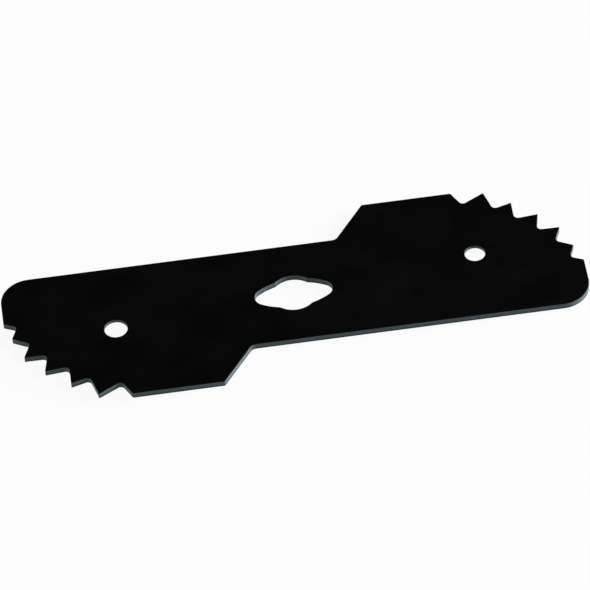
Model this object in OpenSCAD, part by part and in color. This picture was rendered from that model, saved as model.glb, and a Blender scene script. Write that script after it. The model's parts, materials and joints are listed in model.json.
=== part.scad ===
// Edger blade: one flat steel blank with a saw-toothed corner at each end and a lobed drive opening.
// The blade lies flat. The origin is the middle of the drive opening, on the lower face.
// +X runs along the blade, +Y across it, +Z up through the sheet.
// The outline is the same after half a turn about the middle, so only one end is described.

/* [Sheet] */
// Length from end edge to end edge
blade_len = 190.5; // [184:0.5:200]
// Width of the narrow middle, between the two wings
body_w = 41.6; // [36:0.2:46]
// Thickness of the sheet
sheet_t = 2.2; // [1.6:0.1:4]
// Radius of the plain corner of each end
plain_corner_r = 9.7; // [4:0.1:14]

/* [Wing] */
// Width over both wings
wing_w = 70; // [66:0.5:74]
// Distance along the blade from the middle to the foot of the wing's slope
slope_foot_x = 16.4; // [14:0.1:20]
// Distance along the blade from the middle to the top of the wing's slope
slope_top_x = 27; // [24:0.1:34]
// Distance along the blade from the middle to where the wing's straight edge ends
wing_end_x = 56.8; // [50:0.1:58]
// Radius in the corner at the foot of the slope
slope_foot_r = 2.5; // [0.5:0.1:4]
// Radius on the corner where the straight edge ends
wing_end_r = 0.6; // [0.2:0.1:1.5]

/* [Saw corner] */
// Radius of the arc that the tooth tips follow
saw_arc_r = 52.5; // [51.5:0.1:53]
// Distance along the blade from the middle to the centre of that arc
saw_centre_x = 43.7; // [43.2:0.1:44]
// Distance of the arc's centre from the long axis, on the side of the plain corner
saw_centre_drop = 13.4; // [13:0.1:14]
// Bearing of each tooth tip round the arc, from the wing down to the end edge, in degrees
tip_bearing = [63, 51.6, 40.3, 30.2, 20.1]; // each at least 3 from the gullets beside it
// Height of each tooth tip above the arc
tip_height = [0, -0.6, 0, 0.9, 0]; // each -2 to 2
// Bearing of each gullet round the arc, in degrees
gullet_bearing = [69.3, 56.3, 46, 35, 25.7, 15.4]; // each at least 3 from the tips beside it
// Depth of each gullet below the arc
gullet_depth = [6.9, 5.7, 6.2, 5.4, 4, 3.5]; // each 3 to 9
// Radius at the root of each gullet
gullet_root_r = 1.5; // [0.4:0.1:1.5]
// Distance from the long axis down to the last corner, where the end edge begins
heel_drop = 2.4; // [1.5:0.1:4]

/* [Drive opening] */
// Radius of the round middle of the opening
hub_r = 7.5; // [6.5:0.1:8]
// Length of the opening over its two lobes
hub_len = 25.2; // [24:0.1:26]
// Radius of each lobe's end
lobe_end_r = 3.5; // [2.5:0.1:4]
// Radius of the long sides of the lobes
lobe_side_r = 20.7; // [18:0.1:24]
// Radius that eases the four corners between the round middle and the lobes
hub_ease_r = 1.5; // [0.5:0.1:3]

/* [Small holes] */
// Radius of the hole in the +X half
hole_a_r = 3.4; // [2:0.05:4]
// Distance of that hole along the blade from the middle
hole_a_x = 60.6; // [50:0.1:66]
// Distance of that hole from the long axis, towards the wing
hole_a_y = 6.6; // [0:0.1:10]
// Radius of the hole in the -X half
hole_b_r = 3.8; // [2:0.05:4]
// Distance of that hole along the blade from the middle
hole_b_x = 59.2; // [50:0.1:66]
// Distance of that hole from the long axis, towards the wing
hole_b_y = 6; // [0:0.1:10]

/* [Hidden] */
$fn = 96;
black = [0.035, 0.037, 0.04];
// How far each cutter runs past the faces and the outline
cut_over = 1;
// How far an arc reaches past each line or arc that it rounds off, so that the two truly cross
overlap = 0.005;

half_len = blade_len / 2;
half_w = body_w / 2;
half_wing = wing_w / 2;
tooth_count = len(tip_bearing);

// Vectors and corners of the outline
function unit(v) = v / norm(v);
function cross_2d(u, v) = u[0] * v[1] - u[1] * v[0];
function corner_angle(before, at, after) = acos(unit(before - at) * unit(after - at));
function trim(before, at, after, r) = r / tan(corner_angle(before, at, after) / 2);
function towards(from, to, distance) = from + distance * unit(to - from);
function round_centre(before, at, after, r) =
    at + unit(unit(before - at) + unit(after - at)) * r / sin(corner_angle(before, at, after) / 2);
// The outline runs clockwise, so a right turn is an outer corner
function is_outer(before, at, after) = cross_2d(at - before, after - at) < 0;

// Point where two circles cross, on the right of the line from the first centre to the second
function circles_cross(c1, r1, c2, r2) =
    let (
        d = norm(c2 - c1),
        along = (d * d + r1 * r1 - r2 * r2) / (2 * d),
        aside = sqrt(r1 * r1 - along * along),
        u = unit(c2 - c1)
    )
    c1 + along * u + aside * [u[1], -u[0]];

// Outline of one end, as [x, y, radius of the corner]
function saw_point(bearing, from_arc) =
    [saw_centre_x, -saw_centre_drop] + (saw_arc_r + from_arc) * [cos(bearing), sin(bearing)];
function sharp(p) = [p[0], p[1], 0];
function rooted(p) = [p[0], p[1], gullet_root_r];
function gullet(i) = rooted(saw_point(gullet_bearing[i], -gullet_depth[i]));
function tip(i) = sharp(saw_point(tip_bearing[i], tip_height[i]));
function wing() = [
    [slope_foot_x, half_w, slope_foot_r],
    [slope_top_x, half_wing, 0],
    [wing_end_x, half_wing, wing_end_r]
];
function saw() = [
    for (i = [0 : tooth_count - 1]) each [gullet(i), tip(i)],
    gullet(tooth_count)
];
function end_edge() = [
    [half_len, -heel_drop, 0],
    [half_len, -half_w, plain_corner_r]
];
function one_end() = concat(wing(), saw(), end_edge());
function half_turned(corners) = [for (c = corners) [-c[0], -c[1], c[2]]];

// What a rounded outer corner loses: the corner beyond the arc
module corner_waste(centre, at, touch_before, touch_after, r) {
    difference() {
        polygon([
            centre,
            towards(centre, touch_before, r + cut_over),
            towards(centre, at, norm(at - centre) + 2 * cut_over),
            towards(centre, touch_after, r + cut_over)
        ]);
        translate(centre) circle(r);
    }
}

// A polygon whose corners are rounded by true arcs. An inner corner is first filled straight across,
// and a disc then hollows it
module rounded_polygon(corners) {
    n = len(corners);
    at = [for (c = corners) [c[0], c[1]]];
    r = [for (c = corners) c[2]];
    before = [for (i = [0 : n - 1]) at[(i + n - 1) % n]];
    after = [for (i = [0 : n - 1]) at[(i + 1) % n]];
    outer = [for (i = [0 : n - 1]) is_outer(before[i], at[i], after[i])];
    cut = [for (i = [0 : n - 1]) trim(before[i], at[i], after[i], r[i] - overlap)];
    touch_before = [for (i = [0 : n - 1]) towards(at[i], before[i], cut[i])];
    touch_after = [for (i = [0 : n - 1]) towards(at[i], after[i], cut[i])];
    centre = [for (i = [0 : n - 1]) round_centre(before[i], at[i], after[i], r[i] - overlap)];
    filled = [for (i = [0 : n - 1]) r[i] > 0 && !outer[i] ? [touch_before[i], touch_after[i]] : [at[i]]];
    difference() {
        polygon([for (points = filled) each points]);
        for (i = [0 : n - 1])
            if (r[i] > 0 && outer[i]) corner_waste(centre[i], at[i], touch_before[i], touch_after[i], r[i]);
            else if (r[i] > 0) translate(centre[i]) circle(r[i]);
    }
}

module blade_outline() {
    rounded_polygon(concat(one_end(), half_turned(one_end())));
}

// The lobes: two wide arcs that would meet in points, cut short and closed by round ends
lobe_x = hub_len / 2 - lobe_end_r;
lobe_side_drop = sqrt(pow(lobe_side_r - lobe_end_r + overlap, 2) - lobe_x * lobe_x);
lobe_join_x = lobe_x + lobe_end_r * lobe_x / (lobe_side_r - lobe_end_r);

module lobes() {
    intersection() {
        translate([0, -lobe_side_drop]) circle(lobe_side_r);
        translate([0, lobe_side_drop]) circle(lobe_side_r);
        square([2 * lobe_join_x, 2 * hub_r], center = true);
    }
    for (side = [-1, 1])
        translate([side * lobe_x, 0]) circle(lobe_end_r);
}

// One eased corner: a patch under the arc that touches the round middle and the lobe's side
ease_reach = hub_ease_r - overlap;
ease_centre = circles_cross([0, -lobe_side_drop], lobe_side_r + ease_reach, [0, 0], hub_r + ease_reach);
module eased_corner() {
    touch_middle = towards([0, 0], ease_centre, hub_r);
    touch_side = towards([0, -lobe_side_drop], ease_centre, lobe_side_r);
    difference() {
        polygon([[0, 0], touch_middle, ease_centre, touch_side]);
        translate(ease_centre) circle(hub_ease_r);
    }
}

module drive_opening() {
    circle(hub_r);
    lobes();
    for (flip_x = [0, 1])
        for (flip_y = [0, 1])
            mirror([flip_x, 0]) mirror([0, flip_y]) eased_corner();
}

module through_cut() {
    translate([0, 0, -cut_over]) linear_extrude(sheet_t + 2 * cut_over) children();
}

module small_hole(x, y, r) {
    translate([x, y, -cut_over]) cylinder(r = r, h = sheet_t + 2 * cut_over);
}

module blade() {
    color(black)
    difference() {
        linear_extrude(sheet_t) blade_outline();
        through_cut() drive_opening();
        small_hole(hole_a_x, hole_a_y, hole_a_r);
        small_hole(-hole_b_x, -hole_b_y, hole_b_r);
    }
}

blade();
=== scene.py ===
"""Looks of a stamped lawn edger blade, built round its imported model, with a white studio to see it in."""
import json
import math

import bmesh
import bpy
from bpy.props import FloatProperty, FloatVectorProperty, IntProperty, PointerProperty
from mathutils import Matrix, Vector


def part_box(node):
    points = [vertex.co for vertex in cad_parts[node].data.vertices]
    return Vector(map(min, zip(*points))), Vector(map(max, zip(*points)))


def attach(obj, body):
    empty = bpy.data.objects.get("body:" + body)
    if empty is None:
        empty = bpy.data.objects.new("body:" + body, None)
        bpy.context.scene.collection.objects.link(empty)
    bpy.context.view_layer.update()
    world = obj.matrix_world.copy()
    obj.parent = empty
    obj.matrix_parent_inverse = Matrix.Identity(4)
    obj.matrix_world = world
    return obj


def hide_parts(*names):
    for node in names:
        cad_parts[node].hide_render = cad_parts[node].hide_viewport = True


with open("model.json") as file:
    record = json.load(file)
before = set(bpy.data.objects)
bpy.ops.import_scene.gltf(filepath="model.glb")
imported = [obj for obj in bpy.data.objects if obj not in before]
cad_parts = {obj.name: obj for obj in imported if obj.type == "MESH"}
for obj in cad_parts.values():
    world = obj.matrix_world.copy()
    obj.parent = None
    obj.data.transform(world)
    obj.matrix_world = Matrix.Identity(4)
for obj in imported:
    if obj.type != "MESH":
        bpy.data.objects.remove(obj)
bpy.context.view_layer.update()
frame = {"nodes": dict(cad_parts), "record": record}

bl_info = {
    "name": "Edger Blade",
    "version": (1, 0, 0),
    "blender": (4, 5, 0),
    "location": "3D View > Sidebar > Edger Blade",
    "description": "Stamps an edger blade with a black coat and sets up a white studio round it",
    "category": "Object",
}

MM = 0.001
BLADE_LOW, BLADE_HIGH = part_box("blade")
SHEET = BLADE_HIGH.z - BLADE_LOW.z
WHITE = (1.0, 1.0, 1.0, 1.0)

# Closer together than this, two points or heights count as one
MERGE = 0.001 * MM
# A face whose normal rises more steeply than this is flat
FLAT = 0.9
# A sharper turn than this is a corner and not part of an arc
ARC_TURN = math.radians(25)
# A smaller turn than this is a straight run
STRAIGHT_TURN = math.radians(0.5)
# How far two sides of one arc may differ in length
LIKE_LENGTHS = 0.03
# The drive opening lies within this distance of the origin
OPENING_REACH = 14 * MM
BORE_MARGIN = 0.2 * MM

# Sizes of the cells of the noises on the coat and on the walls, along X, Y and Z
COAT_CLOUDS = (22 * MM, 14 * MM, 14 * MM)
TORN_EDGE = (1.1 * MM, 1.1 * MM, 6 * MM)
PUNCH_MARKS = (0.28 * MM, 0.28 * MM, 7 * MM)
DRAG_LINES = (9 * MM, 9 * MM, 0.16 * MM)
GRIT = (0.2 * MM, 0.2 * MM, 0.2 * MM)
MARK_SHADE = (0.5, 0.52, 0.54, 1.0)
WALL_TINT = (0.80, 0.96, 1.0, 1.0)

# Heights between which the backdrop fades into the dark studio overhead
FADE_LOW = math.radians(4)
FADE_HIGH = math.radians(28)
FLOOR_RADIUS = 8
FLOOR_GAP = 0.02 * MM
LAMP_DISTANCE = 2.4
LAMP_WIDTH = 1.4
# Bearing from +X and height of each lamp, in degrees
LAMPS = {"key": (6, 9), "fill": (192, 28), "front": (-92, 72)}


# Settings

class BladeForm(bpy.types.PropertyGroup):
    """How the punch and the die leave the arrises, points and openings of the blank."""

    roll_reach: FloatProperty(
        name="Roll-over reach", description="How far the rounded upper arris reaches in over the face",
        default=0.11 * MM, min=0.02 * MM, max=0.12 * MM, precision=6, unit="LENGTH")
    roll_drop: FloatProperty(
        name="Roll-over drop", description="How far the rounded upper arris reaches down the wall",
        default=0.10 * MM, min=0.02 * MM, max=0.5 * MM, precision=6, unit="LENGTH")
    foot_break: FloatProperty(
        name="Lower arris", description="Size of the small break on the lower arris",
        default=0.06 * MM, min=0.01 * MM, max=0.3 * MM, precision=6, unit="LENGTH")
    point_break: FloatProperty(
        name="Point break", description="How much of each side the rounding takes at a tooth's point",
        default=0.22 * MM, min=0.22 * MM, max=0.4 * MM, precision=6, unit="LENGTH")
    flare_height: FloatProperty(
        name="Flare height", description="Height from which the small holes open out downwards",
        default=1.0 * MM, min=0.2 * MM, max=1.8 * MM, precision=6, unit="LENGTH")
    flare_reach: FloatProperty(
        name="Flare reach", description="How much wider the small holes are at the lower face, all round",
        default=1.0 * MM, min=0.01 * MM, max=1.5 * MM, precision=6, unit="LENGTH")
    opening_scale: FloatProperty(
        name="Opening scale", description="Size of the drive opening against the plain blade's",
        default=1.017, min=0.95, max=1.05)
    opening_turn: FloatProperty(
        name="Opening turn", description="How far the drive opening is turned from the blade's length",
        default=0.032, min=-0.1, max=0.1, subtype="ANGLE")
    opening_shift: FloatVectorProperty(
        name="Opening shift", description="How far the drive opening sits off the blade's middle",
        default=(-0.25 * MM, -0.316 * MM, 0), min=-MM, max=MM, precision=6, unit="LENGTH",
        subtype="TRANSLATION")
    point_steps: IntProperty(
        name="Point steps", description="Steps in the rounding of a tooth's point",
        default=4, min=1, max=8)
    arc_cuts: IntProperty(
        name="Cuts on arcs", description="Points added between each two points of an arc of the outline",
        default=3, min=0, max=8)
    roll_steps: IntProperty(
        name="Roll-over steps", description="Steps in the rounding of the upper arris",
        default=4, min=1, max=8)
    foot_steps: IntProperty(
        name="Lower arris steps", description="Steps in the break of the lower arris",
        default=2, min=1, max=8)


class CoatLook(bpy.types.PropertyGroup):
    """The black coat on both faces."""

    colour: FloatVectorProperty(
        name="Colour", description="Colour of the coat", subtype="COLOR", size=4,
        default=(0.0006, 0.0006, 0.0007, 1.0), min=0, max=1)
    thin_colour: FloatVectorProperty(
        name="Thin colour", description="Colour where the coat is thinnest", subtype="COLOR", size=4,
        default=(0.0014, 0.0015, 0.0017, 1.0), min=0, max=1)
    gloss: FloatProperty(
        name="Gloss", description="Specular level of the coat", default=0.07, min=0, max=1, subtype="FACTOR")
    roughness: FloatProperty(
        name="Roughness", description="Middle roughness of the coat", default=0.34, min=0, max=1,
        subtype="FACTOR")
    grain: FloatProperty(
        name="Grain", description="Size of the coat's finest grain", default=0.35 * MM, min=0.05 * MM,
        max=5 * MM, precision=6, unit="LENGTH")
    peel: FloatProperty(
        name="Orange peel", description="Size of the waves in the coat", default=1.6 * MM, min=0.1 * MM,
        max=10 * MM, precision=6, unit="LENGTH")
    relief: FloatProperty(
        name="Relief", description="Height of the waves in the coat", default=0.012 * MM, min=0,
        max=0.1 * MM, precision=6, unit="LENGTH")


class WallLook(bpy.types.PropertyGroup):
    """The sheared walls of the blank, which the coat has darkened."""

    burnish_colour: FloatVectorProperty(
        name="Burnish colour", description="Colour of the smooth upper band of the wall", subtype="COLOR",
        size=4, default=(0.050, 0.070, 0.080, 1.0), min=0, max=1)
    # Painted shade: the lower band's darker colour stands partly for the torn steel's duller tone and partly
    # for shade at the foot of the wall.
    fracture_and_foot_shade_colour: FloatVectorProperty(
        name="Fracture colour", description="Colour of the torn lower band of the wall", subtype="COLOR",
        size=4, default=(0.022, 0.030, 0.034, 1.0), min=0, max=1)
    fracture_share: FloatProperty(
        name="Fracture share", description="Share of the wall's height that is torn", default=0.3,
        min=0, max=1, subtype="FACTOR")
    gloss: FloatProperty(
        name="Gloss", description="Specular level of the wall", default=0.25, min=0, max=1, subtype="FACTOR")
    roughness: FloatProperty(
        name="Roughness", description="Middle roughness of the wall", default=0.42, min=0, max=1,
        subtype="FACTOR")
    relief: FloatProperty(
        name="Relief", description="Depth of the shear marks", default=0.03 * MM, min=0, max=0.2 * MM,
        precision=6, unit="LENGTH")


class StudioLook(bpy.types.PropertyGroup):
    """Floor, backdrop, lamps and camera."""

    floor_colour: FloatVectorProperty(
        name="Floor colour", description="Colour of the floor", subtype="COLOR", size=4,
        default=(0.48, 0.48, 0.48, 1.0), min=0, max=1)
    floor_lift: FloatProperty(
        name="Floor lift", description="How far the floor that the camera sees is lifted to plain white",
        default=0.93, min=0, max=1, subtype="FACTOR")
    horizon: FloatProperty(
        name="Horizon", description="Brightness of the backdrop at the horizon", default=1.0, min=0, max=2)
    ceiling: FloatProperty(
        name="Ceiling", description="Brightness of the studio overhead", default=0.012, min=0, max=2)
    key: FloatProperty(
        name="Key lamp", description="Brightness of the lamp on the right", default=66.0, min=0, max=100)
    fill: FloatProperty(
        name="Fill lamp", description="Brightness of the lamp on the left", default=2.5, min=0, max=50)
    front: FloatProperty(
        name="Front lamp", description="Brightness of the lamp above the camera", default=1.5, min=0, max=50)
    lens: FloatProperty(
        name="Lens", description="Focal length of the camera on a 36 mm sensor, in millimetres",
        default=277.82, min=10, max=1000)
    aim: FloatVectorProperty(
        name="Aim", description="Point on the upper face that the camera looks at",
        default=(0.036 * MM, -1.544 * MM, BLADE_HIGH.z), precision=6, unit="LENGTH", subtype="TRANSLATION")
    distance: FloatProperty(
        name="Distance", description="Distance of the camera from the point it looks at",
        default=1483.09 * MM, min=0.1, max=10, unit="LENGTH")
    bearing: FloatProperty(
        name="Bearing", description="Bearing of the camera from the blade, counted from +X",
        default=math.radians(-94.323), subtype="ANGLE")
    height: FloatProperty(
        name="Height", description="Angle at which the camera looks down on the blade",
        default=math.radians(46.989), subtype="ANGLE")
    roll: FloatProperty(
        name="Roll", description="How far the camera is turned about its line of sight",
        default=math.radians(-4.261), subtype="ANGLE")


# Shader maths

class Signal:
    """A value in a shader, so that maths on it reads as a plain expression."""

    def __init__(self, shader, socket):
        self.shader = shader
        self.socket = socket

    def maths(self, operation, first, second):
        return self.shader.node("ShaderNodeMath", {"operation": operation}, {0: first, 1: second})

    def __add__(self, other):
        return self.maths("ADD", self, other)

    def __sub__(self, other):
        return self.maths("SUBTRACT", self, other)

    def __mul__(self, other):
        return self.maths("MULTIPLY", self, other)

    def __radd__(self, other):
        return self.maths("ADD", other, self)

    def __rsub__(self, other):
        return self.maths("SUBTRACT", other, self)

    def __rmul__(self, other):
        return self.maths("MULTIPLY", other, self)


class Shader:
    """The nodes of one material or world."""

    def __init__(self, owner):
        owner.use_nodes = True
        self.owner = owner
        self.tree = owner.node_tree
        self.tree.nodes.clear()

    def node(self, kind, settings=None, inputs=None, output=0):
        made = self.tree.nodes.new(kind)
        for name, value in (settings or {}).items():
            setattr(made, name, value)
        for name, value in (inputs or {}).items():
            if isinstance(value, Signal):
                self.tree.links.new(value.socket, made.inputs[name])
            else:
                made.inputs[name].default_value = value
        return Signal(self, made.outputs[output]) if made.outputs else made

    def place(self):
        return self.node("ShaderNodeTexCoord", output="Object")

    def noise(self, place, cell, detail=2.0, roughness=0.5):
        """Noise from 0 to 1 whose cells measure cell along X, Y and Z."""
        stretch = tuple(1 / size for size in cell)
        spread = self.node("ShaderNodeMapping", {}, {"Vector": place, "Scale": stretch})
        return self.node("ShaderNodeTexNoise", {}, {
            "Vector": spread, "Scale": 1.0, "Detail": detail, "Roughness": roughness})

    def step(self, value, low, high):
        """A smooth rise from 0 to 1 as value goes from low to high."""
        return self.node("ShaderNodeMapRange", {"interpolation_type": "SMOOTHSTEP"}, {
            "Value": value, "From Min": low, "From Max": high, "To Min": 0.0, "To Max": 1.0})

    def blend(self, factor, first, second):
        """A colour between first and second."""
        return self.node("ShaderNodeMix", {"data_type": "RGBA"}, {0: factor, 6: first, 7: second}, output=2)

    def bump(self, height, distance):
        """A normal tilted by a height, where a height of 1 stands for distance."""
        return self.node("ShaderNodeBump", {}, {"Height": height, "Distance": distance, "Strength": 1.0})

    def surface(self, shader_signal, kind="ShaderNodeOutputMaterial"):
        """Ends the node tree and gives back the material or world."""
        self.node(kind, {}, {"Surface": shader_signal})
        return self.owner


def coat_material(look):
    """The satin coat: cloudy in sheen, with an orange peel and a fine grain."""
    shader = Shader(bpy.data.materials.new("black_coat"))
    place = shader.place()
    clouds = shader.noise(place, COAT_CLOUDS, detail=3.0)
    waves = shader.noise(place, (look.peel,) * 3, detail=1.0)
    grain = shader.noise(place, (look.grain,) * 3, detail=2.0, roughness=0.6)
    mottle = clouds * 0.6 + grain * 0.4
    sheen = look.roughness + (clouds - 0.5) * 0.14 + (grain - 0.5) * 0.08
    return shader.surface(shader.node("ShaderNodeBsdfPrincipled", {}, {
        "Base Color": shader.blend(shader.step(mottle, 0.35, 0.7), look.colour, look.thin_colour),
        "Roughness": sheen,
        "Specular IOR Level": look.gloss,
        "Normal": shader.bump(waves + grain * 0.35, look.relief),
    }))


def wall_material(look):
    """A smooth upper band with the punch's marks above a ragged, torn lower band. The lower band is painted
    darker, partly for its own duller tone and partly as painted shade at the foot of the wall.
    """
    shader = Shader(bpy.data.materials.new("sheared_wall"))
    place = shader.place()
    height = shader.node("ShaderNodeSeparateXYZ", {}, {"Vector": place}, output="Z") * (1 / SHEET)
    border = height + (shader.noise(place, TORN_EDGE, detail=3.0) - 0.5) * 0.35
    # Mask of the lower band. It makes the band rougher and bumpier, and also darker in colour; that darkness
    # is partly painted shade at the foot of the wall.
    torn = 1 - shader.step(border, look.fracture_share - 0.07, look.fracture_share + 0.07)
    punch_marks = shader.noise(place, PUNCH_MARKS)
    drag_lines = shader.noise(place, DRAG_LINES, roughness=0.6)
    grit = shader.noise(place, GRIT)
    marks = drag_lines * 0.6 + punch_marks * 0.4
    shade = shader.step(marks, 0.3, 0.7)
    # Painted shade: the darker colour of the lower band is partly shade at the wall's foot, painted into the
    # colour, and partly the torn band's own tone.
    band = shader.blend(torn, look.burnish_colour, look.fracture_and_foot_shade_colour)
    dimmed = shader.node("ShaderNodeMix", {"data_type": "RGBA", "blend_type": "MULTIPLY"}, {
        0: 1 - shade, 6: band, 7: MARK_SHADE}, output=2)
    return shader.surface(shader.node("ShaderNodeBsdfPrincipled", {}, {
        "Base Color": dimmed,
        "Roughness": look.roughness + torn * 0.16 + (grit - 0.5) * 0.12,
        "Specular IOR Level": look.gloss,
        "Specular Tint": WALL_TINT,
        "Normal": shader.bump(marks + torn * grit * 0.8, look.relief),
    }))


def floor_material(look):
    """A pale floor. The camera and reflections see it lifted towards white, with its shadow kept."""
    shader = Shader(bpy.data.materials.new("studio_floor"))
    lit = shader.node("ShaderNodeBsdfDiffuse", {}, {"Color": look.floor_colour})
    white = shader.node("ShaderNodeEmission", {}, {"Color": WHITE, "Strength": 1.0})
    lifted = shader.node("ShaderNodeMixShader", {}, {0: look.floor_lift, 1: lit, 2: white})
    rays = [shader.node("ShaderNodeLightPath", output=name)
            for name in ("Is Camera Ray", "Is Glossy Ray", "Is Transmission Ray")]
    seen = rays[0] + rays[1] + rays[2]
    return shader.surface(shader.node("ShaderNodeMixShader", {}, {0: seen, 1: lit, 2: lifted}))


def studio_world(look):
    """A pale backdrop all round that fades into a dark studio overhead."""
    shader = Shader(bpy.data.worlds.new("studio"))
    direction = shader.node("ShaderNodeTexCoord", output="Generated")
    up = shader.node("ShaderNodeSeparateXYZ", {}, {"Vector": direction}, output="Z")
    overhead = shader.step(up, math.sin(FADE_LOW), math.sin(FADE_HIGH))
    strength = look.horizon + overhead * (look.ceiling - look.horizon)
    return shader.surface(
        shader.node("ShaderNodeBackground", {}, {"Color": WHITE, "Strength": strength}),
        "ShaderNodeOutputWorld")


# The blank

def outline_of(node):
    """The upper outline of a CAD node and of its openings, as bare edges."""
    outline = bmesh.new()
    outline.from_mesh(node.data)
    bmesh.ops.remove_doubles(outline, verts=outline.verts, dist=MERGE)
    outline.normal_update()
    walls = [face for face in outline.faces if face.normal.z < FLAT]
    bmesh.ops.delete(outline, geom=walls, context="FACES")
    inner = [edge for edge in outline.edges if not edge.is_boundary]
    bmesh.ops.delete(outline, geom=list(outline.faces), context="FACES_ONLY")
    bmesh.ops.delete(outline, geom=inner, context="EDGES")
    return outline


def neighbours(vert):
    """The places of the two points next to a point of the outline."""
    return [edge.other_vert(vert).co for edge in vert.link_edges]


def turn_at(vert):
    """The angle by which the outline turns at a point."""
    before, after = neighbours(vert)
    return (vert.co - before).angle(after - vert.co)


def inside_arc(vert):
    """Whether a point of the outline lies inside an arc: a small turn between two sides of one length."""
    before, after = neighbours(vert)
    sides = (vert.co - before).length, (after - vert.co).length
    alike = abs(sides[0] - sides[1]) < LIKE_LENGTHS * max(sides)
    return alike and STRAIGHT_TURN < turn_at(vert) < ARC_TURN


def arc_at(vert):
    """Centre and radius of the arc through a point and its two neighbours."""
    before, after = neighbours(vert)
    radius = (after - before).length / (2 * math.sin(turn_at(vert)))
    return vert.co + ((before + after) / 2 - vert.co).normalized() * radius, radius


def smooth_arcs(outline, cuts):
    """Adds points between those of each arc, on the arc itself."""
    arcs = {}
    for vert in outline.verts:
        if inside_arc(vert):
            for edge in vert.link_edges:
                arcs[edge] = arc_at(vert)
    for edge, (centre, radius) in arcs.items():
        made = bmesh.ops.subdivide_edges(outline, edges=[edge], cuts=cuts)
        for vert in made["geom_inner"]:
            if isinstance(vert, bmesh.types.BMVert):
                vert.co = centre + (vert.co - centre).normalized() * radius


def round_points(outline, size, steps):
    """Rounds the sharp points of the outline, such as those of the teeth."""
    points = [vert for vert in outline.verts if turn_at(vert) > ARC_TURN]
    bmesh.ops.bevel(
        outline, geom=points, offset=size, offset_type="OFFSET", affect="VERTICES", segments=steps,
        profile=0.5, material=-1)


def seat_opening(outline, form):
    """Sizes, turns and shifts the drive opening as the photo shows it."""
    opening = [vert for vert in outline.verts if vert.co.xy.length < OPENING_REACH]
    bmesh.ops.scale(outline, verts=opening, vec=(form.opening_scale, form.opening_scale, 1))
    bmesh.ops.rotate(outline, verts=opening, matrix=Matrix.Rotation(form.opening_turn, 3, "Z"))
    bmesh.ops.translate(outline, verts=opening, vec=form.opening_shift)


def of_kind(geometry, kind):
    return [item for item in geometry if isinstance(item, kind)]


def extrude(blank, faces):
    """Extrudes a patch of faces. Returns its new points and its new faces."""
    edges = dict.fromkeys(edge for face in faces for edge in face.edges)
    raised = bmesh.ops.extrude_face_region(blank, geom=[*faces, *edges])["geom"]
    return of_kind(raised, bmesh.types.BMVert), of_kind(raised, bmesh.types.BMFace)


def mark_inward(blank):
    """Stores at each point of the walls the step that moves both walls there inwards by 1."""
    inward = blank.verts.layers.float_vector.new("inward")
    for vert in blank.verts:
        first, second = (face.normal for face in vert.link_faces if abs(face.normal.z) < 0.5)
        vert[inward] = -(first + second) / (1 + first.dot(second))
    return inward


def in_bore(vert):
    """Whether a point lies on one of the round holes, which the record states as bores."""
    for mount in frame["record"]["mounts"]:
        if mount["kind"] == "bore":
            reach = mount["dims"]["r_mm"] * MM + BORE_MARGIN
            if (vert.co.xy - Vector(mount["pos_m"][:2])).length < reach:
                return True
    return False


def flare_bores(blank, inward, form):
    """Opens the round holes out towards the lower face, and fills that face again round them."""
    for vert in blank.verts:
        if vert.co.z < form.flare_height / 2 and in_bore(vert):
            vert.co += vert[inward] * form.flare_reach
    foot = [face for face in blank.faces if face.normal.z < -FLAT]
    bmesh.ops.delete(blank, geom=foot, context="FACES")
    rim = [edge for edge in blank.edges if edge.is_boundary]
    bmesh.ops.triangle_fill(blank, use_beauty=True, edges=rim)
    bmesh.ops.recalc_face_normals(blank, faces=blank.faces)


def ease_arris(blank, inward, reach, drop, steps, up):
    """Steps the upper face, or the lower one with up at -1, in over a quarter of an ellipse."""
    blank.normal_update()
    face = [f for f in blank.faces if f.normal.z * up > FLAT]
    for i in range(steps):
        turn, next_turn = (math.pi / 2 * k / steps for k in (i, i + 1))
        verts, face = extrude(blank, face)
        step_in = reach * (math.cos(turn) - math.cos(next_turn))
        step_out = up * drop * (math.sin(next_turn) - math.sin(turn))
        for vert in verts:
            vert.co += vert[inward] * step_in + Vector((0, 0, step_out))


def zone_of(face, form):
    """The part of the blank a face belongs to, by the heights that its points span."""
    heights = [vert.co.z for vert in face.verts]
    if max(heights) - min(heights) < MERGE:
        return "flat"
    if min(heights) > SHEET - form.roll_drop - MERGE:
        return "roll"
    return "foot" if max(heights) < form.foot_break + MERGE else "wall"


def finish_faces(blank, form):
    """Gives the walls and the lower arris the wall's finish, and shades each zone by itself."""
    zones = {face: zone_of(face, form) for face in blank.faces}
    for face, zone in zones.items():
        face.material_index = 1 if zone in ("wall", "foot") else 0
        face.smooth = zone != "flat"
    for edge in blank.edges:
        first, second = edge.link_faces
        edge.smooth = zones[first] == zones[second] and edge.calc_face_angle() < ARC_TURN


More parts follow.
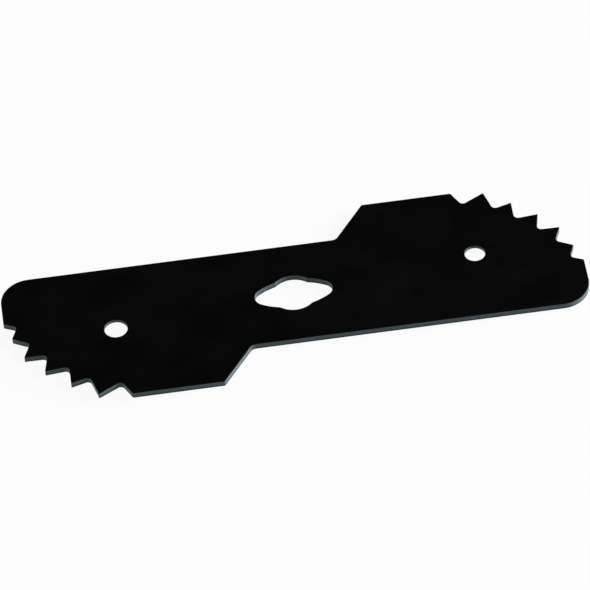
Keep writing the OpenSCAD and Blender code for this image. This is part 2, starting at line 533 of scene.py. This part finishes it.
def stamp_blank(form):
    """A mesh of the blank: its outline from the frame, raised to the sheet, with eased arrises."""
    blank = outline_of(frame["nodes"]["blade"])
    smooth_arcs(blank, form.arc_cuts)
    round_points(blank, form.point_break, form.point_steps)
    seat_opening(blank, form)
    bmesh.ops.triangle_fill(blank, use_beauty=True, edges=blank.edges)
    bmesh.ops.translate(blank, verts=blank.verts, vec=(0, 0, form.foot_break - SHEET))
    lower, upper = form.flare_height - form.foot_break, SHEET - form.roll_drop - form.flare_height
    verts, face = extrude(blank, blank.faces)
    bmesh.ops.translate(blank, verts=verts, vec=(0, 0, lower))
    bmesh.ops.recalc_face_normals(blank, faces=blank.faces)
    blank.normal_update()
    inward = mark_inward(blank)
    flare_bores(blank, inward, form)
    verts, _ = extrude(blank, face)
    bmesh.ops.translate(blank, verts=verts, vec=(0, 0, upper))
    ease_arris(blank, inward, form.roll_reach, form.roll_drop, form.roll_steps, 1)
    ease_arris(blank, inward, form.foot_break, form.foot_break, form.foot_steps, -1)
    blank.verts.layers.float_vector.remove(inward)
    finish_faces(blank, form)
    mesh = bpy.data.meshes.new("edger_blade")
    blank.to_mesh(mesh)
    blank.free()
    return mesh


class EDGER_OT_blade(bpy.types.Operator):
    """Make the finished blade in place of the plain one"""

    bl_idname = "edger.blade"
    bl_label = "Stamp the Blade"

    def execute(self, context):
        scene = context.scene
        blade = bpy.data.objects.new("edger_blade", stamp_blank(scene.edger_form))
        blade.data.materials.append(coat_material(scene.edger_coat))
        blade.data.materials.append(wall_material(scene.edger_wall))
        scene.collection.objects.link(blade)
        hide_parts("blade")
        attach(blade, "root")
        return {"FINISHED"}


# The studio

def towards(bearing, height):
    """The direction at a bearing from +X and a height above the horizon."""
    return Vector((
        math.cos(bearing) * math.cos(height), math.sin(bearing) * math.cos(height), math.sin(height)))


def add_floor(scene, look):
    """A round floor, a hair below the blade so that the two don't share a plane."""
    disc = bmesh.new()
    bmesh.ops.create_circle(disc, cap_ends=True, segments=96, radius=FLOOR_RADIUS)
    bmesh.ops.translate(disc, verts=disc.verts, vec=(0, 0, -FLOOR_GAP))
    mesh = bpy.data.meshes.new("floor")
    disc.to_mesh(mesh)
    disc.free()
    mesh.materials.append(floor_material(look))
    floor = bpy.data.objects.new("floor", mesh)
    scene.collection.objects.link(floor)


def add_lamp(scene, name, brightness):
    """A square soft box that faces the blade, as bright as the given radiance."""
    data = bpy.data.lights.new(name, "AREA")
    data.shape = "SQUARE"
    data.size = LAMP_WIDTH
    data.energy = brightness * math.pi * LAMP_WIDTH * LAMP_WIDTH
    lamp = bpy.data.objects.new(name, data)
    bearing, height = LAMPS[name]
    out = towards(math.radians(bearing), math.radians(height))
    lamp.location = out * LAMP_DISTANCE
    lamp.rotation_euler = out.to_track_quat("Z", "Y").to_euler()
    scene.collection.objects.link(lamp)


def add_camera(scene, look):
    """A long lens that looks down on the blade from just left of its front."""
    data = bpy.data.cameras.new("camera")
    data.sensor_width = 36
    data.lens = look.lens
    data.clip_start = 0.1
    data.clip_end = 30
    camera = bpy.data.objects.new("camera", data)
    out = towards(look.bearing, look.height)
    turned = out.to_track_quat("Z", "Y").to_matrix() @ Matrix.Rotation(look.roll, 3, "Z")
    camera.matrix_world = Matrix.Translation(look.aim + out * look.distance) @ turned.to_4x4()
    scene.collection.objects.link(camera)
    scene.camera = camera


class EDGER_OT_studio(bpy.types.Operator):
    """Set up the floor, backdrop, lamps and camera"""

    bl_idname = "edger.studio"
    bl_label = "Set Up the Studio"

    def execute(self, context):
        scene = context.scene
        look = scene.edger_studio
        add_floor(scene, look)
        scene.world = studio_world(look)
        for name in LAMPS:
            add_lamp(scene, name, getattr(look, name))
        add_camera(scene, look)
        scene.view_settings.view_transform = "Standard"
        return {"FINISHED"}


class EDGER_PT_panel(bpy.types.Panel):
    """The blade's settings and the steps that make it"""

    bl_label = "Edger Blade"
    bl_idname = "EDGER_PT_panel"
    bl_space_type = "VIEW_3D"
    bl_region_type = "UI"
    bl_category = "Edger Blade"

    def draw(self, context):
        for group in SETTINGS:
            box = self.layout.box()
            settings = getattr(context.scene, group)
            for name in settings.__annotations__:
                box.prop(settings, name)
        for operator in (EDGER_OT_blade, EDGER_OT_studio):
            self.layout.operator(operator.bl_idname)


SETTINGS = {
    "edger_form": BladeForm,
    "edger_coat": CoatLook,
    "edger_wall": WallLook,
    "edger_studio": StudioLook,
}
CLASSES = (*SETTINGS.values(), EDGER_OT_blade, EDGER_OT_studio, EDGER_PT_panel)


def register():
    for cls in CLASSES:
        bpy.utils.register_class(cls)
    for name, cls in SETTINGS.items():
        setattr(bpy.types.Scene, name, PointerProperty(type=cls))


def unregister():
    for name in SETTINGS:
        delattr(bpy.types.Scene, name)
    for cls in reversed(CLASSES):
        bpy.utils.unregister_class(cls)


def main():
    register()
    bpy.ops.edger.blade()
    bpy.ops.edger.studio()


if __name__ == "__main__":
    main()
